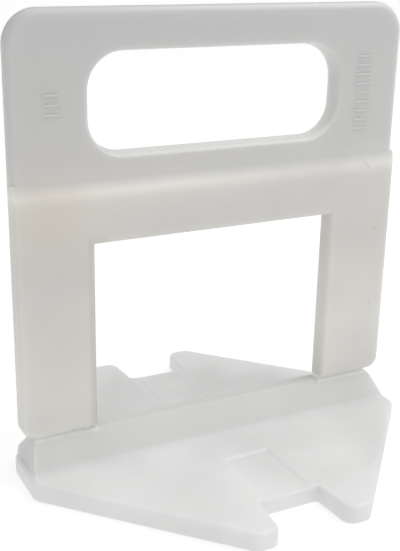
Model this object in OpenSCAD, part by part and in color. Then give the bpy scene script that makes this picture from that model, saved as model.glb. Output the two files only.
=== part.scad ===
// Tile levelling clip, moulded in one piece.
// A base plate goes under two tiles, two legs stand in the joint between them, and a wedge driven
// through the opening over the tiles pulls them level. The legs then snap off at the break line.
// Origin: middle of the base's underside. +X across the web, -Y to the front, +Z up.

/* [Panel] */
// Width across the panel and the legs
web_w = 35.4; // [31:0.1:40]
// Thickness of the panel above the step
panel_t = 1.55; // [1.3:0.05:1.9]
// Radius of the panel's upper corners
panel_r = 2.7; // [1:0.1:5]
// Height of the panel between the step and the window
sill_h = 1.65; // [0.5:0.05:6]
// Height of the panel above the window
head_h = 3.2; // [1.5:0.1:8]
// Radius of the panel's edges
panel_edge = 0.6; // [0.2:0.05:0.6]

/* [Window] */
// Width of the window at the front of the panel
window_w = 22.9; // [12:0.1:28]
// Height of the window at the front of the panel
window_h = 8.1; // [6:0.1:16]
// Radius of the window's corners
window_r = 3; // [1:0.1:3]
// Angle by which the window's walls close in towards the back, so that it leaves the mould
window_draft = 7; // [1:0.5:12]
// Radius of the window's front edge
window_edge = 0.25; // [0.1:0.05:0.4]

/* [Legs] */
// Thickness of the legs, which is the width of the tile joint
joint_t = 2; // [1.9:0.1:3]
// Clear width between the legs, for the wedge
opening_w = 22.4; // [18:0.1:25]
// Height of the crossbar's lower edge above the underside of the base
opening_z = 19.95; // [10:0.05:30]
// Height of the crossbar, from the opening to the step
crossbar_h = 3.7; // [1.5:0.05:8]
// Height of the sloping step from the legs' thickness to the panel's
step_h = 1.5; // [0.8:0.1:3]
// Radius of the step's outer and inner edges
step_r = 1; // [0.3:0.1:1.5]
// Height of the legs' lower ends above the underside of the base
leg_z = 3.95; // [3.5:0.05:6]
// Radius of the legs' outer lower corners
leg_r = 1.1; // [0.8:0.1:2.5]
// Radius of the legs' edges
leg_edge = 0.4; // [0.2:0.05:0.8]
// Distance of the legs' front faces behind the middle of the base
web_set_back = 0; // [-1.5:0.1:0.5]

/* [Break line] */
// Height of the thin neck under each leg
break_h = 0.2; // [0.1:0.05:0.7]
// Thickness of the neck
break_t = 0.9; // [0.5:0.05:1.3]
// Distance of the neck from the leg's outer side
break_inset = 1.3; // [0.6:0.1:2]

/* [Ridge] */
// Thickness of the ridge's crest under the legs
ridge_t = 1.2; // [1.1:0.1:2.4]
// Radius of the crest's edges
crest_r = 0.4; // [0.1:0.05:0.5]
// Distance by which each flank slopes out from the crest to the plate
flank_run = 2.1; // [0.6:0.1:2.4]
// Radius between the flanks and the plate
foot_r = 0.6; // [0.2:0.1:1]
// Distance of the ridge's two ends from the ends of the base, at the plate
ridge_end_gap = 0.4; // [0.4:0.1:1.5]
// Distance by which each end slopes in from the plate to the crest
ridge_end_run = 0.7; // [0.4:0.1:2]
// Radius between the crest and its sloping ends
ridge_end_r = 0.8; // [0.2:0.1:1.2]

/* [Base] */
// Width between the base's two flat ends
base_w = 35.6; // [33:0.2:42]
// Length of the base from tip to tip
base_l = 33; // [29:0.5:40]
// Thickness of the plate
plate_t = 1.5; // [1.2:0.05:1.5]
// Radius of the plate's upper edges
plate_edge = 0.4; // [0.2:0.05:0.8]
// Length of each flat end
end_l = 5.3; // [3.5:0.1:8]
// Radius of the corners at the flat ends
end_r = 1.3; // [0.8:0.1:2.5]
// Width of each prong's tip
tip_w = 2.05; // [1.7:0.05:4]
// Radius of the tips' corners
tip_r = 1; // [0.8:0.05:1.1]
// Width of each notch at its inner wall
notch_w = 5.5; // [4.8:0.1:8]
// Depth of each notch from the tips
notch_l = 4.05; // [2.5:0.05:6]
// Angle by which each notch wall opens towards the mouth
notch_draft = 4; // [1:0.5:10]
// Radius of the notches' inner corners
notch_r = 0.3; // [0.1:0.05:0.5]

/* [Recess] */
// Width of the shallow recess between the ridge and each notch
recess_w = 4.6; // [2:0.1:4.7]
// Length of the recess, from the notch's inner wall towards the ridge
recess_l = 7; // [2:0.1:7.5]
// Depth of the recess
recess_d = 0.15; // [0.1:0.05:0.6]
// Distance by which the recess's walls slope in towards its floor
recess_run = 0.35; // [0.1:0.05:0.8]

/* [Hidden] */
$fn = 64;
// Extra reach of cutting shapes past the faces that they cut
over = 1;
// How far rounded edges and fillets run into the flat faces, so that each ends in a clean line
sink = 0.003;
// Angle by which the rounding of a corner laps over the rounding of the sides next to it
lap = 0.5;
// Depth to which the necks are rooted in the legs
root = 0.2;
// Middle and back of the legs
web_mid_y = web_set_back + joint_t / 2;
web_back_y = web_set_back + joint_t;
// Front of the panel: the backs of the panel and the legs are flush
panel_front_y = web_back_y - panel_t;
// Heights of the features stacked up from the opening
step_z = opening_z + crossbar_h;
panel_z = step_z + step_h;
window_z = panel_z + sill_h;
clip_h = window_z + window_h + head_h;
// Top of the ridge, under the break line
crest_z = leg_z - break_h;
// Height inside the plate from which the ridge and the necks rise
root_z = plate_t / 2;
// Places of the notch's inner wall, of its mouth and of the tips' outer corners
notch_y = base_l / 2 - notch_l;
mouth_x = notch_w / 2 + notch_l * tan(notch_draft);
tip_x = mouth_x + tip_w;

// Outlines are lists of [x, y, radius], with the solid on the left of each side
web_corners = [
    [-web_w / 2, leg_z, leg_r],
    [-opening_w / 2, leg_z, 0],
    [-opening_w / 2, opening_z, 0],
    [opening_w / 2, opening_z, 0],
    [opening_w / 2, leg_z, 0],
    [web_w / 2, leg_z, leg_r],
    [web_w / 2, clip_h, panel_r],
    [-web_w / 2, clip_h, panel_r]];
panel_corners = [
    [-web_w / 2, panel_z, 0],
    [web_w / 2, panel_z, 0],
    [web_w / 2, clip_h, panel_r],
    [-web_w / 2, clip_h, panel_r]];
// The panel's right side, top and left side: its lower side is inside the web
panel_sides = [1, 2, 3];
// The window's corners, in the order that keeps the panel on the left
window_corners = [for (s = [[-1, -1], [-1, 1], [1, 1], [1, -1]])
    [s.x * window_w / 2, window_z + window_h * (1 + s.y) / 2, window_r]];
base_back_right = [
    [base_w / 2, end_l / 2, end_r],
    [tip_x, base_l / 2, tip_r],
    [mouth_x, base_l / 2, tip_r],
    [notch_w / 2, notch_y, notch_r]];
base_back_left = [for (i = [len(base_back_right) - 1:-1:0])
    let (c = base_back_right[i]) [-c.x, c.y, c.z]];
base_back = concat(base_back_right, base_back_left);
base_corners = concat(base_back, [for (c = base_back) [-c.x, -c.y, c.z]]);

function unit(v) = v / norm(v);
function xy(c) = [c.x, c.y];
function heading(v) = atan2(v.y, v.x);
function all_sides(c) = [0:len(c) - 1];
// Directions from corner i of an outline to its two neighbours
function to_prev(c, i) = unit(xy(c[(i + len(c) - 1) % len(c)]) - xy(c[i]));
function to_next(c, i) = unit(xy(c[(i + 1) % len(c)]) - xy(c[i]));
function half_angle(c, i) = acos(to_prev(c, i) * to_next(c, i)) / 2;
function is_convex(c, i) = cross(to_prev(c, i), to_next(c, i)) < 0;
// The points where corner i's arc meets the straight sides, or the corner itself if it is sharp
function arc_ends(c, i) =
    c[i].z == 0 ? [xy(c[i])]
    : [for (dir = [to_prev(c, i), to_next(c, i)]) xy(c[i]) + dir * c[i].z / tan(half_angle(c, i))];
function arc_centre(c, i) =
    c[i].z == 0 ? xy(c[i])
    : xy(c[i]) + unit(to_prev(c, i) + to_next(c, i)) * c[i].z / sin(half_angle(c, i));

// Flat outline with a true arc at each corner that has a radius
module rounded_outline(c) {
    difference() {
        union() {
            polygon([for (i = all_sides(c)) each arc_ends(c, i)]);
            corner_circles(c, true);
        }
        corner_circles(c, false);
    }
}

// The circles of an outline's outer or inner rounded corners
module corner_circles(c, convex) {
    for (i = all_sides(c))
        if (c[i].z > 0 && is_convex(c, i) == convex) translate(arc_centre(c, i)) circle(c[i].z);
}

// Section of what is cut away to round an edge: the face is at y = 0 and the solid at x > 0
module edge_section(edge, reach, into) {
    difference() {
        translate([-reach, -edge]) square([edge + reach, edge + over]);
        translate([edge - into, into - edge]) circle(edge);
    }
}

// What is cut away to round the edge of an upward face at z = 0, along each of an outline's sides
// and round each of its corners
module edge_rounding(c, edge, sides) {
    for (i = sides) {
        from = arc_ends(c, i)[len(arc_ends(c, i)) - 1];
        to = arc_ends(c, (i + 1) % len(c))[0];
        way_in = heading(-to_prev(c, i));
        way_out = heading(to_next(c, i));
        turn = 180 - 2 * half_angle(c, i) + 2 * lap;
        r = c[i].z;
        translate(from) rotate([0, 0, way_out]) rotate([90, 0, 90])
            linear_extrude(norm(to - from)) edge_section(edge, over, sink);
        if (is_convex(c, i) && r > 0)
            translate(arc_centre(c, i)) rotate([0, 0, way_in - 90 - lap]) rotate_extrude(angle = turn)
                translate([r, 0]) mirror([1, 0]) edge_section(edge, over, 2 * sink);
        if (!is_convex(c, i))
            translate(arc_centre(c, i)) rotate([0, 0, way_out + 90 - lap]) rotate_extrude(angle = turn)
                translate([r, 0]) edge_section(edge, min(r, over), 2 * sink);
    }
}

// Stands a front view (x, z) up, with what was its top face at depth y
module face_front(y) {
    translate([0, y, 0]) rotate([90, 0, 0]) children();
}

// The same from behind: its top face looks to the back
module face_back(y) {
    translate([0, y, 0]) mirror([0, 1, 0]) rotate([90, 0, 0]) children();
}

// Stands a side view (y, z) up and gives it a width, evenly about the middle
module side_view(w) {
    rotate([90, 0, 90]) linear_extrude(w, center = true) children();
}

// Side view of what the step takes off the front of the panel
module step_cut_section() {
    leg_front = web_set_back - sink;
    rounded_outline([
        [leg_front - over, step_z - over, 0],
        [leg_front, step_z - over, 0],
        [leg_front, step_z, step_r],
        [panel_front_y, panel_z, step_r],
        [panel_front_y, clip_h + over, 0],
        [leg_front - over, clip_h + over, 0]]);
}

// The window: walls that close in towards the back, with a cone at each corner
module window() {
    depth = panel_t + 2 * over;
    front = over * tan(window_draft);
    back = front - depth * tan(window_draft);
    corner = [window_w / 2 - window_r, window_h / 2 - window_r];
    translate([0, panel_front_y - over, window_z + window_h / 2]) rotate([-90, 0, 0]) {
        for (x = [-1, 1], z = [-1, 1])
            translate([x * corner.x, z * corner.y])
                cylinder(h = depth, r1 = window_r + front, r2 = window_r + back);
        rotate([90, 0, 90]) linear_extrude(2 * corner.x, center = true)
            wall_to_wall(window_h / 2 + front, window_h / 2 + back, depth);
        rotate([90, 0, 0]) linear_extrude(2 * corner.y, center = true)
            wall_to_wall(window_w / 2 + front, window_w / 2 + back, depth);
    }
}

// Section between two facing walls that lean in or out
module wall_to_wall(half_front, half_back, depth) {
    polygon([[-half_front, 0], [half_front, 0], [half_back, depth], [-half_back, depth]]);
}

// Legs, crossbar and panel
module web() {
    difference() {
        face_front(web_back_y) linear_extrude(joint_t) rounded_outline(web_corners);
        face_front(web_set_back) edge_rounding(web_corners, leg_edge, all_sides(web_corners));
        side_view(web_w + 2 * over) step_cut_section();
        face_front(panel_front_y) edge_rounding(panel_corners, panel_edge, panel_sides);
        face_back(web_back_y) edge_rounding(web_corners, panel_edge, all_sides(web_corners));
        window();
        face_front(panel_front_y) edge_rounding(window_corners, window_edge, all_sides(window_corners));
    }
}

// Thin necks, rooted in the plate, that join the legs to the ridge and snap when the tiles are set
module break_line() {
    neck_w = (web_w - opening_w) / 2 - break_inset;
    neck_h = leg_z + root - root_z;
    for (side = [-1, 1])
        translate([side * (opening_w + neck_w) / 2, web_mid_y, root_z + neck_h / 2])
            cube([neck_w, break_t, neck_h], center = true);
}

// Side view of the ridge: a rounded crest and sloping flanks with a fillet at the foot, rooted in the plate
module ridge_section() {
    half = ridge_t / 2;
    foot = half + flank_run;
    shelf = foot + foot_r;
    shelf_z = plate_t - sink;
    translate([web_mid_y, 0]) rounded_outline([
        [-shelf, root_z, 0], [shelf, root_z, 0],
        [shelf, shelf_z, 0], [foot, shelf_z, foot_r], [half, crest_z, crest_r],
        [-half, crest_z, crest_r], [-foot, shelf_z, foot_r], [-shelf, shelf_z, 0]]);
}

// Front view of the ridge, where the crest slopes down to the ends
module ridge_front() {
    end = base_w / 2 - ridge_end_gap;
    shoulder = end - ridge_end_run;
    low_z = plate_t - sink;
    rounded_outline([
        [-end, root_z, 0], [end, root_z, 0], [end, low_z, 0],
        [shoulder, crest_z, ridge_end_r], [-shoulder, crest_z, ridge_end_r], [-end, low_z, 0]]);
}

module ridge() {
    intersection() {
        side_view(base_w) ridge_section();
        face_front(base_l / 2) linear_extrude(base_l) ridge_front();
        linear_extrude(clip_h) rounded_outline(base_corners);
    }
}

// Base plate: flat ends, sides that taper to two prongs at the front and at the back
module plate() {
    difference() {
        linear_extrude(plate_t) rounded_outline(base_corners);
        translate([0, 0, plate_t]) edge_rounding(base_corners, plate_edge, all_sides(base_corners));
        for (turn = [0, 180]) rotate([0, 0, turn]) recess();
    }
}

// Shallow recess between the ridge and the back notch, with sloping walls and open to the notch
module recess() {
    floor_z = plate_t - recess_d;
    lean = over * recess_run / recess_d;
    inner = notch_y - recess_l;
    mouth = notch_y + over;
    intersection() {
        face_front(mouth) linear_extrude(2 * recess_l) translate([0, floor_z])
            wall_to_wall(recess_w / 2 - recess_run, recess_w / 2 + lean, recess_d + over);
        side_view(2 * recess_w + 2 * lean) polygon([
            [inner + recess_run, floor_z], [mouth, floor_z],
            [mouth, plate_t + over], [inner - lean, plate_t + over]]);
    }
}

module clip() {
    color("#dcdcd8") union() {
        plate();
        ridge();
        break_line();
        web();
    }
}

clip();
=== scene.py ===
# %% [markdown]
# A tile levelling clip, in natural polypropylene
#
# The clip is one small injection moulding. A base plate lies under two floor tiles, two legs stand in
# the joint between them, and a wedge driven through the opening pulls the tiles level. Its shape is
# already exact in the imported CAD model, so this lesson is about looks: soft edges, milky plastic,
# raised bars, a pale studio and a camera at the photograph's viewing angle.

import math

import bmesh
import bpy
from mathutils import Matrix, Vector


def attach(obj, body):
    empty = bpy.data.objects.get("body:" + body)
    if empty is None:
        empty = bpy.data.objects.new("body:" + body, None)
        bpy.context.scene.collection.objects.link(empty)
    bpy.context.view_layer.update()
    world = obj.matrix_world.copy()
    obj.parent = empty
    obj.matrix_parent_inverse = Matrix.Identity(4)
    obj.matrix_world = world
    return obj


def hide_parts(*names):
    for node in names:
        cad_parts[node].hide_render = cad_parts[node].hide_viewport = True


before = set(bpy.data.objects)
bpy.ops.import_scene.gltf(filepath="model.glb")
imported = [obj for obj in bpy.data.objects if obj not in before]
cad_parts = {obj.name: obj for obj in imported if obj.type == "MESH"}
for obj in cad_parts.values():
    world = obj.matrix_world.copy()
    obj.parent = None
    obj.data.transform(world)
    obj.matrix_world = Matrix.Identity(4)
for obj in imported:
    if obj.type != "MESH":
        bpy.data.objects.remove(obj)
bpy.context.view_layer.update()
MM = 0.001

# %% [markdown]
# The moulding itself
#
# On the real clip every outer edge is slightly round, because a mould can't be cut perfectly sharp and
# hot plastic shrinks away from its corners. The CAD solid has those radii, but it arrives as loose flat
# triangles that would show as facets. It could be subdivided, but that would soften the edges that are
# crisp. Instead a copy is welded, and its shading is smoothed across gentle bends only.

# %% Weld a copy of the CAD mesh and smooth its gentle bends
WELD = 0.01 * MM
SHARPEST_SMOOTH = math.radians(36)


def welded_copy(node_name, name):
    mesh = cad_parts[node_name].data.copy()
    mesh.name = name
    bm = bmesh.new()
    bm.from_mesh(mesh)
    bmesh.ops.remove_doubles(bm, verts=bm.verts, dist=WELD)
    bmesh.ops.dissolve_degenerate(bm, edges=bm.edges, dist=WELD)
    for face in bm.faces:
        face.smooth = True
    for edge in bm.edges:
        edge.smooth = len(edge.link_faces) == 2 and edge.calc_face_angle(0) < SHARPEST_SMOOTH
    bm.to_mesh(mesh)
    bm.free()
    mesh.materials.clear()
    piece = bpy.data.objects.new(name, mesh)
    bpy.context.scene.collection.objects.link(piece)
    return piece


moulding = welded_copy("clip", "moulding")
print("moulding:", len(moulding.data.vertices), "vertices,", len(moulding.data.polygons), "faces")

# %% [markdown]
# The flat faces of the mould
#
# A mould is mostly flat steel, so the legs, the panel and the base are true planes, and so are the narrow
# sloping walls of the two recesses. Smooth shading would bend the light over those planes. They could be
# picked by hand, but a rule finds them: triangles that lie in one plane form a group, and a group is a flat
# face if it is big, or if it is small but wide. Long thin groups are the strips of a rounding.

# %% Find the triangles of flat faces
SAME_PLANE = math.radians(0.3)
FLAT_FACE_AREA = 4 * MM * MM
SMALL_FLAT_AREA = 1.2 * MM * MM
SMALL_FLAT_WIDTH = 0.3 * MM


def plane_group(first, seen):
    """The triangles around a first one that lie in its plane."""
    group, waiting = [], [first]
    seen.add(first.index)
    while waiting:
        face = waiting.pop()
        group.append(face)
        for other in {f for edge in face.edges for f in edge.link_faces} - {face}:
            if other.index not in seen and other.normal.angle(face.normal, math.pi) < SAME_PLANE:
                seen.add(other.index)
                waiting.append(other)
    return group


def is_flat_face(group):
    area = sum(face.calc_area() for face in group)
    edges = {edge for face in group for edge in face.edges}
    rim = [edge for edge in edges if sum(face in group for face in edge.link_faces) == 1]
    # A strip's area is its width times half the length of its rim
    width = 2 * area / sum(edge.calc_length() for edge in rim)
    return area > FLAT_FACE_AREA or area > SMALL_FLAT_AREA and width > SMALL_FLAT_WIDTH


def flat_triangles(mesh):
    """Normals of the triangles that belong to a flat face, by triangle number."""
    bm = bmesh.new()
    bm.from_mesh(mesh)
    bm.faces.ensure_lookup_table()
    flat, seen = {}, set()
    for first in bm.faces:
        group = [] if first.index in seen else plane_group(first, seen)
        if group and is_flat_face(group):
            biggest = max(group, key=lambda face: face.calc_area())
            flat.update({face.index: biggest.normal.copy() for face in group})
    bm.free()
    return flat


flat = flat_triangles(moulding.data)
print("triangles in flat faces:", len(flat), "of", len(moulding.data.polygons))

# %% [markdown]
# Crisp planes beside soft roundings
#
# On the real clip a plane stays flat right up to the line where a rounding starts. A Weighted Normal
# modifier comes close, but it still lets a large rounding pull at its neighbours. So each corner of a flat
# face gets the normal of its plane, and a rounding takes that same normal where it meets the plane.

# %% Give each corner its normal
def keep_flat_faces_flat(mesh, flat):
    around = {}
    for face in mesh.polygons:
        for vertex in face.vertices:
            if face.index in flat:
                around.setdefault(vertex, []).append(flat[face.index])
    normals = []
    for face in mesh.polygons:
        for corner in face.loop_indices:
            near = [n for n in around.get(mesh.loops[corner].vertex_index, ())
                    if n.angle(face.normal) < SHARPEST_SMOOTH]
            if face.index in flat:
                normals.append(flat[face.index])
            elif near:
                normals.append(min(near, key=lambda n: n.angle(face.normal)))
            else:
                normals.append(mesh.corner_normals[corner].vector.copy())
    mesh.normals_split_custom_set(normals)
    return len(normals)


print("corners with a normal of their own:", keep_flat_faces_flat(moulding.data, flat))

# %% [markdown]
# Natural polypropylene
#
# Polypropylene without a pigment is milky: light goes in, scatters among tiny crystals and comes out a
# millimetre or two away, so shadows inside the part are soft and thin edges glow a little. It could be
# drawn as glass with fog in it, but that is slow and noisy. The Principled shader's subsurface part gives
# the same soft look, so the next cells only have to say which colour goes where. They share two helpers:
# one turns a colour as a paint program shows it into linear light, and one adds a node.

# %% Colours and one helper for nodes
def srgb(hex_colour):
    """Linear colour of an sRGB hex value."""
    parts = [int(hex_colour[i:i + 2], 16) / 255 for i in (1, 3, 5)]
    linear = [c / 12.92 if c <= 0.04045 else ((c + 0.055) / 1.055) ** 2.4 for c in parts]
    return (*linear, 1.0)


def add(tree, kind, links=(), **settings):
    """Adds a node. A setting is a property, or an input by name or _number. Links are (input, output)."""
    node = tree.nodes.new(kind)
    sockets = {}
    for key, value in settings.items():
        if hasattr(node, key):
            setattr(node, key, value)
        else:
            sockets[key] = value
    for key, value in sockets.items():
        node.inputs[int(key[1:]) if key[1:].isdigit() else key.replace("_", " ")].default_value = value
    for key, output in links:
        tree.links.new(node.inputs[key], output)
    return node


print("half grey, #808080, is linear", round(srgb("#808080")[0], 3))

# %% [markdown]
# Milk and painted light that change with the height
#
# The base of the clip looks almost white, the legs a little warm, the step at their top has a pale band,
# and the panel is greyer. Thick and thin plastic send back different shares of the light, and a white
# ground shines into the lower parts. All of that could be traced in a true volume, but on this clip it
# mostly follows the height. So a colour ramp over the height, fitted to the photograph, paints it: the
# plastic's own tone, with painted light and shade on top. The base and the lower legs are painted lighter
# where light from above and from the white ground falls on them, the pale band on the step is a painted
# highlight, and the ridge's flank, up to just under the feet of the legs, is painted darker as shade.
# Faint clouds, where the crystals grew unevenly, break it up.

# %% Colour and painted light by height, and a share of clouds
# Heights in mm and the colour there: the plastic's own tone with painted light and shade on it
MILK_AND_PAINTED_LIGHT_BY_HEIGHT = [(0.0, "#f1f1f1"), (1.5, "#f1f1f1"), (1.9, "#e6e6e5"), (3.4, "#e4e4e2"), (3.75, "#dfdfdd"),
                  (4.0, "#ebe9e4"), (9.0, "#ebe9e4"), (18.0, "#dddbd6"), (22.0, "#e1dfda"), (23.4, "#e4e2dd"),
                  (24.2, "#f3f1ec"), (25.0, "#dddcda"), (26.5, "#d7d6d4"), (38.0, "#d2d2d2")]
CLOUD_GREY = "#d2d2d1"
CLOUD_SIZE = 9 * MM
CLOUD_STARTS, CLOUD_FULL = 0.35, 0.75
CLOUD_STRENGTH = 0.5


def set_stops(ramp, stops):
    """Sets a colour ramp's (position, linear colour) stops."""
    for i, (position, colour) in enumerate(stops):
        # A new ramp already has two stops
        stop = ramp.elements[i] if i < 2 else ramp.elements.new(1.0)
        stop.position = position
        stop.color = colour


def milk_and_painted_light_by_height(tree, place):
    top = MILK_AND_PAINTED_LIGHT_BY_HEIGHT[-1][0]
    height = add(tree, "ShaderNodeSeparateXYZ", [("Vector", place)])
    share = add(tree, "ShaderNodeMath", [(0, height.outputs["Z"])], operation="DIVIDE", _1=top * MM)
    # The ramp paints the plastic's tone together with the light and shade that fall on it
    milk_and_light_ramp = add(tree, "ShaderNodeValToRGB", [("Fac", share.outputs[0])])
    set_stops(milk_and_light_ramp.color_ramp, [(z / top, srgb(hex_colour)) for z, hex_colour in MILK_AND_PAINTED_LIGHT_BY_HEIGHT])
    return milk_and_light_ramp.outputs["Color"]


def cloud_share(tree, place):
    clouds = add(tree, "ShaderNodeTexNoise", [("Vector", place)],
                 Scale=1 / CLOUD_SIZE, Detail=2.0, Roughness=0.5)
    haze = add(tree, "ShaderNodeMapRange", [("Value", clouds.outputs["Fac"])],
               From_Min=CLOUD_STARTS, From_Max=CLOUD_FULL, To_Min=0.0, To_Max=CLOUD_STRENGTH)
    return haze.outputs["Result"]


print("heights with a colour of their own:", len(MILK_AND_PAINTED_LIGHT_BY_HEIGHT))

# %% [markdown]
# Narrow walls, with painted light and shade
#
# Light that has entered the plastic leaves it again through its narrow walls, so the break line under the
# legs and the sill of the window look pale, and the window walls look lighter, while the inner edge of the
# left leg looks greyer. A true volume would give that after a long wait. Here it is painted: each such place
# is a soft box in the clip's own coordinates, which is 1 well inside and fades to 0 at its faces, and which
# carries one tone, fitted to the photograph. The pale tones are painted light, the sill's is a painted
# highlight, and the grey inner edge of the left leg is painted shade.

# %% Painted light and shade of the narrow walls
# Low corner, high corner and fade along X, Y and Z, all in mm, then the tone
# Painted light: the pale break lines, the window walls and the sill's highlight. Painted shade: the grey
# inner edge of the left leg
WALL_LIGHT_AND_SHADE = {
    "break line, left": ((-19.0, -1.0, 3.4), (-11.0, 3.0, 4.15), (0.25, 0.25, 0.25), "#fbfbf8"),
    "break line, right": ((11.0, -1.0, 3.4), (19.0, 3.0, 4.15), (0.25, 0.25, 0.25), "#fbfbf8"),
    "window walls": ((-12.5, 0.45, 26.0), (12.5, 2.0, 36.0), (0.25, 0.25, 0.25), "#dcdcdb"),
    "window sill": ((-12.5, 0.45, 24.0), (12.5, 2.0, 30.0), (2.5, 0.25, 2.8), "#ecece9"),
    "left leg, inner edge": ((-12.0, -1.0, 3.6), (-10.0, 1.0, 20.6), (0.8, 0.5, 0.8), "#c9c7c2"),
}


def box_share(tree, place, low, high, fade):
    """A socket that is 1 well inside a box, 0 outside it, and fades over a depth set for each axis."""
    low, high, fade = (Vector(corner) * MM for corner in (low, high, fade))
    off = add(tree, "ShaderNodeVectorMath", [(0, place)], operation="SUBTRACT", _1=(low + high) / 2)
    far = add(tree, "ShaderNodeVectorMath", [(0, off.outputs[0])], operation="ABSOLUTE")
    out = add(tree, "ShaderNodeVectorMath", [(0, far.outputs[0])], operation="SUBTRACT", _1=(high - low) / 2)
    deep = add(tree, "ShaderNodeVectorMath", [(0, out.outputs[0])], operation="DIVIDE", _1=fade)
    ways = add(tree, "ShaderNodeSeparateXYZ", [("Vector", deep.outputs[0])]).outputs
    flat_way = add(tree, "ShaderNodeMath", [(0, ways["X"]), (1, ways["Y"])], operation="MAXIMUM")
    worst = add(tree, "ShaderNodeMath", [(0, flat_way.outputs[0]), (1, ways["Z"])], operation="MAXIMUM")
    inside = add(tree, "ShaderNodeMapRange", [("Value", worst.outputs[0])], From_Min=0.0, From_Max=-1.0)
    return inside.outputs["Result"]


print("walls with a tone:", ", ".join(WALL_LIGHT_AND_SHADE))

# %% [markdown]
# Stains and specks
#
# The clip isn't perfectly clean: two faint warm stains lie on its left side, with a few specks of dirt on
# its right, each about a fifth of a millimetre across. Noise could scatter such spots at random, but here
# their places are known. So each is a distance from a point, soft for a stain and almost hard for a speck.
# The three specks on the step stand so close together that they make one short dash.

# %% Places of the stains and specks
# Centre and radius in mm, then strength
WARM_STAINS = [((-14.8, 0.0, 22.4), 6.5, 0.3), ((-14.6, 0.0, 11.0), 6.0, 0.2)]
STAIN_TAN = "#e4dac6"
SPECK_PLACES = [(16.11, 0.0, 10.87), (14.6, 0.19, 24.3), (14.75, 0.145, 24.15), (14.9, 0.1, 24.0),
                (16.11, 0.0, 18.12), (8.71, -11.24, 1.5)]
SPECK_RADIUS = 0.11
SPECK_CORE = 0.4 * SPECK_RADIUS
SPECK_STRENGTH = 0.36
SPECK_BROWN = "#8d877b"


def spot_share(tree, place, centre, core, radius, strength, fading):
    """A socket that is full in a spot's core and 0 outside its radius; sizes in mm."""
    away = add(tree, "ShaderNodeVectorMath", [(0, place)], operation="DISTANCE", _1=Vector(centre) * MM)
    near = add(tree, "ShaderNodeMapRange", [("Value", away.outputs["Value"])], interpolation_type=fading,
               From_Min=core * MM, From_Max=radius * MM, To_Min=strength, To_Max=0.0)
    return near.outputs["Result"]


print("stains:", len(WARM_STAINS), "specks:", len(SPECK_PLACES))

# %% [markdown]
# The whole material
#
# Steel that was polished but not mirror bright leaves a satin skin on the plastic: gloss that varies a
# little, over a grain that is felt more than seen. It could be a second, clear coat, but the skin is the
# same plastic, so one Principled shader carries it all. The tones are laid over the milk and its painted
# light one by one, like washes of paint: clouds, the painted light and shade of the narrow walls, stains
# and specks.

# %% Milky plastic with a satin skin
# A polished mould's grain is finer than this, and is drawn as coarse as it needs to show
SKIN_GRAIN = 0.35 * MM
GRAIN_DEPTH = 0.02 * MM
GRAIN_STRENGTH = 0.08
SATIN_LEAST, SATIN_MOST = 0.34, 0.48
POLYPROPYLENE_IOR = 1.49
SCATTER_DEPTH = 1.0 * MM
SCATTER_BY_COLOUR = (1.0, 0.97, 0.93)


def tones_over_milk(tree, place):
    """The share and the colour of each wash, in the order in which they are laid on."""
    tones = [(cloud_share(tree, place), CLOUD_GREY)]
    # The narrow walls' tones are painted light and painted shade
    for low, high, fade, tone in WALL_LIGHT_AND_SHADE.values():
        tones.append((box_share(tree, place, low, high, fade), tone))
    for centre, radius, strength in WARM_STAINS:
        tones.append((spot_share(tree, place, centre, 0.0, radius, strength, "SMOOTHSTEP"), STAIN_TAN))
    for centre in SPECK_PLACES:
        share = spot_share(tree, place, centre, SPECK_CORE, SPECK_RADIUS, SPECK_STRENGTH, "LINEAR")
        tones.append((share, SPECK_BROWN))
    return tones


def natural_polypropylene(name, milkiness):
    material = bpy.data.materials.new(name)
    material.use_nodes = True
    tree = material.node_tree
    tree.nodes.clear()
    place = add(tree, "ShaderNodeTexCoord").outputs["Object"]
    colour = milk_and_painted_light_by_height(tree, place)
    for share, tone in tones_over_milk(tree, place):
        # Inputs 6 and 7 of a Mix node are its two colours, and output 2 is their mix
        wash = add(tree, "ShaderNodeMix", [("Factor", share), (6, colour)], data_type="RGBA", _7=srgb(tone))
        colour = wash.outputs[2]
    grain = add(tree, "ShaderNodeTexNoise", [("Vector", place)],
                Scale=1 / SKIN_GRAIN, Detail=3.0, Roughness=0.6)
    satin = add(tree, "ShaderNodeMapRange", [("Value", grain.outputs["Fac"])],
                To_Min=SATIN_LEAST, To_Max=SATIN_MOST)
    relief = add(tree, "ShaderNodeBump", [("Height", grain.outputs["Fac"])],
                 Strength=GRAIN_STRENGTH, Distance=GRAIN_DEPTH)
    skin = add(tree, "ShaderNodeBsdfPrincipled",
               [("Base Color", colour), ("Roughness", satin.outputs["Result"]),
                ("Normal", relief.outputs["Normal"])],
               IOR=POLYPROPYLENE_IOR, Subsurface_Weight=milkiness, Subsurface_Scale=SCATTER_DEPTH,
               Subsurface_Radius=SCATTER_BY_COLOUR)
    add(tree, "ShaderNodeOutputMaterial", [("Surface", skin.outputs["BSDF"])])
    return material


plastic = natural_polypropylene("natural polypropylene, moulded", milkiness=0.8)
moulding.data.materials.append(plastic)
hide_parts("clip")
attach(moulding, "root")
print("material:", plastic.name, "with", len(plastic.node_tree.nodes), "nodes")

# %% [markdown]
# Raised tally bars
#
# Two columns of small raised bars stand beside the window, like a tally. In the mould they are shallow
# round-bottomed grooves. Each bar could be modelled by hand, but they repeat at an even spacing, and that
# is what Geometry Nodes are for: one rod, copied along a line of points.

# %% A node tree that makes a column of bars
ROD_SIDES = 12


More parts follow.
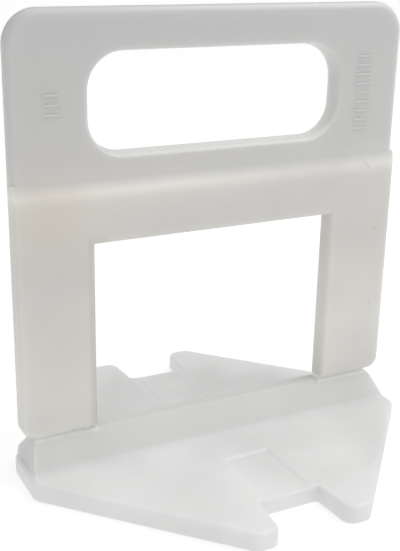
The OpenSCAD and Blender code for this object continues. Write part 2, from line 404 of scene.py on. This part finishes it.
def tally_tree():
    tree = bpy.data.node_groups.new("raised tally bars", "GeometryNodeTree")
    sizes = {}
    for name, kind in [("Bars", "NodeSocketInt"), ("Spacing", "NodeSocketFloat"),
                       ("Length", "NodeSocketFloat"), ("Radius", "NodeSocketFloat"),
                       ("Material", "NodeSocketMaterial")]:
        sizes[name] = tree.interface.new_socket(name, in_out="INPUT", socket_type=kind).identifier
    tree.interface.new_socket("Geometry", in_out="OUTPUT", socket_type="NodeSocketGeometry")
    given = add(tree, "NodeGroupInput").outputs
    rise = add(tree, "ShaderNodeCombineXYZ", [("Z", given["Spacing"])])
    column = add(tree, "GeometryNodeMeshLine", [("Count", given["Bars"]), ("Offset", rise.outputs[0])],
                 mode="OFFSET")
    half = add(tree, "ShaderNodeMath", [(0, given["Length"])], operation="MULTIPLY", _1=0.5)
    left = add(tree, "ShaderNodeMath", [(0, half.outputs[0])], operation="MULTIPLY", _1=-1.0)
    start = add(tree, "ShaderNodeCombineXYZ", [("X", left.outputs[0])])
    end = add(tree, "ShaderNodeCombineXYZ", [("X", half.outputs[0])])
    axis = add(tree, "GeometryNodeCurvePrimitiveLine", [("Start", start.outputs[0]), ("End", end.outputs[0])])
    ring = add(tree, "GeometryNodeCurvePrimitiveCircle", [("Radius", given["Radius"])], Resolution=ROD_SIDES)
    rod = add(tree, "GeometryNodeCurveToMesh",
              [("Curve", axis.outputs[0]), ("Profile Curve", ring.outputs[0])], Fill_Caps=True)
    bars = add(tree, "GeometryNodeInstanceOnPoints",
               [("Points", column.outputs[0]), ("Instance", rod.outputs[0])])
    real = add(tree, "GeometryNodeRealizeInstances", [("Geometry", bars.outputs[0])])
    finish = add(tree, "GeometryNodeSetMaterial",
                 [("Geometry", real.outputs[0]), ("Material", given["Material"])])
    add(tree, "NodeGroupOutput", [("Geometry", finish.outputs[0])])
    return tree, sizes


bar_tree, bar_sizes = tally_tree()
print("inputs of a column of bars:", ", ".join(bar_sizes))

# %% [markdown]
# Bars that grow out of the panel
#
# A raised mark is part of the moulding, so it has no gap around it. The bars could be joined to the panel
# with a Boolean, but at this size that only makes slivers. Instead each rod is sunk until just its rounded
# top stands proud. A mark is too thin to scatter light inside itself, so its plastic isn't milky.

# %% Place the two columns
PANEL_FRONT = 0.45 * MM
BAR_RADIUS = 0.2 * MM
BAR_PROUD = 0.03 * MM
mark_plastic = natural_polypropylene("natural polypropylene, raised marks", milkiness=0.0)


def bake_modifiers(piece):
    bpy.context.view_layer.update()
    evaluated = piece.evaluated_get(bpy.context.evaluated_depsgraph_get())
    finished = bpy.data.meshes.new_from_object(evaluated)
    piece.modifiers.clear()
    finished.name = piece.name
    piece.data = finished


def tally(name, middle_x, low_z, bars, spacing, length):
    """A column of bars, with its lowest bar's middle at (middle_x, low_z); sizes in mm."""
    piece = bpy.data.objects.new(name, bpy.data.meshes.new(name))
    bpy.context.scene.collection.objects.link(piece)
    column = piece.modifiers.new("column of bars", "NODES")
    column.node_group = bar_tree
    for size, value in [("Bars", bars), ("Spacing", spacing * MM), ("Length", length * MM),
                        ("Radius", BAR_RADIUS), ("Material", mark_plastic)]:
        column[bar_sizes[size]] = value
    bake_modifiers(piece)
    sunk_y = PANEL_FRONT + BAR_RADIUS - BAR_PROUD
    piece.data.transform(Matrix.Translation((middle_x * MM, sunk_y, low_z * MM)))
    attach(piece, "root")
    print(name + ":", bars, "bars,", len(piece.data.polygons), "faces")


tally("tally_right", middle_x=13.9, low_z=27.4, bars=9, spacing=0.78, length=1.5)
tally("tally_left", middle_x=-14.4, low_z=30.3, bars=3, spacing=0.75, length=1.3)

# %% [markdown]
# The camera
#
# The photograph looks at the clip from its left and a little above it. A camera could be turned by eye, but
# its place, turn and focal length were fitted to the edges of the clip in the photograph, in pixels, so
# that edges in the render fall on those edges. A Blender lens is in millimetres on a 36 mm sensor, which
# belongs to the longer side of the picture.

# %% Camera at the photograph's viewing angle
PICTURE_LONG_SIDE = 551
SENSOR = 36.0
CAMERA_PLACE = Vector((-38.233, -69.709, 43.565)) * MM
CAMERA_YAW = math.radians(-27.555)
CAMERA_PITCH = math.radians(-19.27)
CAMERA_ROLL = math.radians(1.164)
FOCAL_PIXELS = 987.886


def photo_camera():
    data = bpy.data.cameras.new("camera")
    data.sensor_width = SENSOR
    data.lens = FOCAL_PIXELS / PICTURE_LONG_SIDE * SENSOR
    data.clip_start = MM
    ahead = Vector((-math.sin(CAMERA_YAW) * math.cos(CAMERA_PITCH),
                    math.cos(CAMERA_YAW) * math.cos(CAMERA_PITCH), math.sin(CAMERA_PITCH)))
    level = Vector((math.cos(CAMERA_YAW), math.sin(CAMERA_YAW), 0.0))
    raised = level.cross(ahead)
    right = level * math.cos(CAMERA_ROLL) + raised * math.sin(CAMERA_ROLL)
    up = raised * math.cos(CAMERA_ROLL) - level * math.sin(CAMERA_ROLL)
    camera = bpy.data.objects.new("camera", data)
    turn = Matrix((right, up, -ahead)).transposed().to_4x4()
    camera.matrix_world = Matrix.Translation(CAMERA_PLACE) @ turn
    bpy.context.scene.collection.objects.link(camera)
    bpy.context.scene.camera = camera
    return camera


camera = photo_camera()
print("lens in mm:", round(camera.data.lens, 2))

# %% [markdown]
# The floor
#
# The photograph shows the clip on pure white. A white floor that is only lit would need so much light that
# the pale plastic burns out. So the floor is grey paper that also glows: to the camera and in mirrors just
# enough to turn white, and its lit part only has to carry the shadow. To the clip it glows less, like a
# light table, which makes the legs a little brighter towards their feet.

# %% Pale floor that keeps the shadow
FLOOR_SIDE = 1.2
FLOOR_DROP = 0.02 * MM
FLOOR_PALE = "#bcbcbc"
PAPER_ROUGHNESS = 1.0
FLOOR_GLOW = 0.66
FLOOR_GLOW_ON_CLIP = 0.5
WHITE = srgb("#ffffff")


def paper_that_glows():
    material = bpy.data.materials.new("pale paper floor")
    material.use_nodes = True
    tree = material.node_tree
    tree.nodes.clear()
    paper = add(tree, "ShaderNodeBsdfDiffuse", Color=srgb(FLOOR_PALE), Roughness=PAPER_ROUGHNESS)
    rays = add(tree, "ShaderNodeLightPath").outputs
    seen = add(tree, "ShaderNodeMath", [(0, rays["Is Camera Ray"]), (1, rays["Is Glossy Ray"])],
               operation="MAXIMUM")
    shown = add(tree, "ShaderNodeMath", [(0, seen.outputs[0]), (1, rays["Is Transmission Ray"])],
                operation="MAXIMUM")
    glow = add(tree, "ShaderNodeMapRange", [("Value", shown.outputs[0])],
               To_Min=FLOOR_GLOW_ON_CLIP, To_Max=FLOOR_GLOW)
    white = add(tree, "ShaderNodeEmission", [("Strength", glow.outputs["Result"])], Color=WHITE)
    both = add(tree, "ShaderNodeAddShader", [(0, paper.outputs[0]), (1, white.outputs[0])])
    add(tree, "ShaderNodeOutputMaterial", [("Surface", both.outputs[0])])
    return material


def pale_floor():
    half = FLOOR_SIDE / 2
    mesh = bpy.data.meshes.new("floor")
    mesh.from_pydata([(-half, -half, -FLOOR_DROP), (half, -half, -FLOOR_DROP),
                      (half, half, -FLOOR_DROP), (-half, half, -FLOOR_DROP)], [], [(0, 1, 2, 3)])
    mesh.materials.append(paper_that_glows())
    floor = bpy.data.objects.new("floor", mesh)
    bpy.context.scene.collection.objects.link(floor)
    return floor


floor = pale_floor()
print("floor side in m:", FLOOR_SIDE)

# %% [markdown]
# The room
#
# In the photograph the light comes from all around, with less of it from the clip's left and right, which
# is what draws the edges of the legs. Many lamps could do that, but a world whose level changes with the
# direction needs no lamps and throws no hard shadow. The camera sees it as white. The skin mirrors a dimmer
# room, because the plastic in the photograph shows hardly any reflection.

# %% A pale room, dimmer at both sides
# Level of the room from the clip's left (-1) to its right (1)
ROOM_LEVELS = [(-1.0, 0.32), (-0.4, 0.77), (0.4, 0.77), (1.0, 0.12)]
ROOM_MIRRORED = 0.2


def pale_room():
    world = bpy.data.worlds.new("pale room")
    bpy.context.scene.world = world
    world.use_nodes = True
    tree = world.node_tree
    tree.nodes.clear()
    direction = add(tree, "ShaderNodeTexCoord").outputs["Generated"]
    way = add(tree, "ShaderNodeSeparateXYZ", [("Vector", direction)])
    across = add(tree, "ShaderNodeMapRange", [("Value", way.outputs["X"])], From_Min=-1.0)
    sides = add(tree, "ShaderNodeValToRGB", [("Fac", across.outputs["Result"])])
    set_stops(sides.color_ramp, [((x + 1) / 2, (level, level, level, 1.0)) for x, level in ROOM_LEVELS])
    rays = add(tree, "ShaderNodeLightPath").outputs
    mirrored = add(tree, "ShaderNodeMix", [("Factor", rays["Is Glossy Ray"]), (6, sides.outputs["Color"])],
                   data_type="RGBA", _7=(ROOM_MIRRORED, ROOM_MIRRORED, ROOM_MIRRORED, 1.0))
    seen = add(tree, "ShaderNodeMix", [("Factor", rays["Is Camera Ray"]), (6, mirrored.outputs[2])],
               data_type="RGBA", _7=WHITE)
    air = add(tree, "ShaderNodeBackground", [("Color", seen.outputs[2])], Strength=1.0)
    add(tree, "ShaderNodeOutputWorld", [("Surface", air.outputs[0])])
    return world


print("world:", pale_room().name, "with levels", ROOM_LEVELS)

# %% [markdown]
# The lamp
#
# One soft box hangs above the clip's right side. It brightens the top of the base and the step, and leaves
# the ridge's flank a little darker, as in the photograph. A spot or a sun would draw a hard shadow on the
# floor, so it is an area lamp, about twice as wide as the clip is tall. The Standard view transform shows a
# colour as it was written.

# %% One soft box above the clip
LAMP_PLACE = Vector((0.07, -0.02, 0.13))
LAMP_AIM = Vector((0.0, 0.0, 0.015))
LAMP_SIDE = 0.08
LAMP_WATTS = 0.067


def soft_box(name):
    data = bpy.data.lights.new(name, "AREA")
    data.shape = "SQUARE"
    data.size = LAMP_SIDE
    data.energy = LAMP_WATTS
    lamp = bpy.data.objects.new(name, data)
    lamp.location = LAMP_PLACE
    lamp.rotation_euler = (LAMP_AIM - LAMP_PLACE).to_track_quat("-Z", "Y").to_euler()
    bpy.context.scene.collection.objects.link(lamp)
    return lamp


lamp = soft_box("overhead")
bpy.context.scene.view_settings.view_transform = "Standard"
print("lamp in W:", LAMP_WATTS, "at", round((LAMP_AIM - LAMP_PLACE).length, 3), "m from the clip")
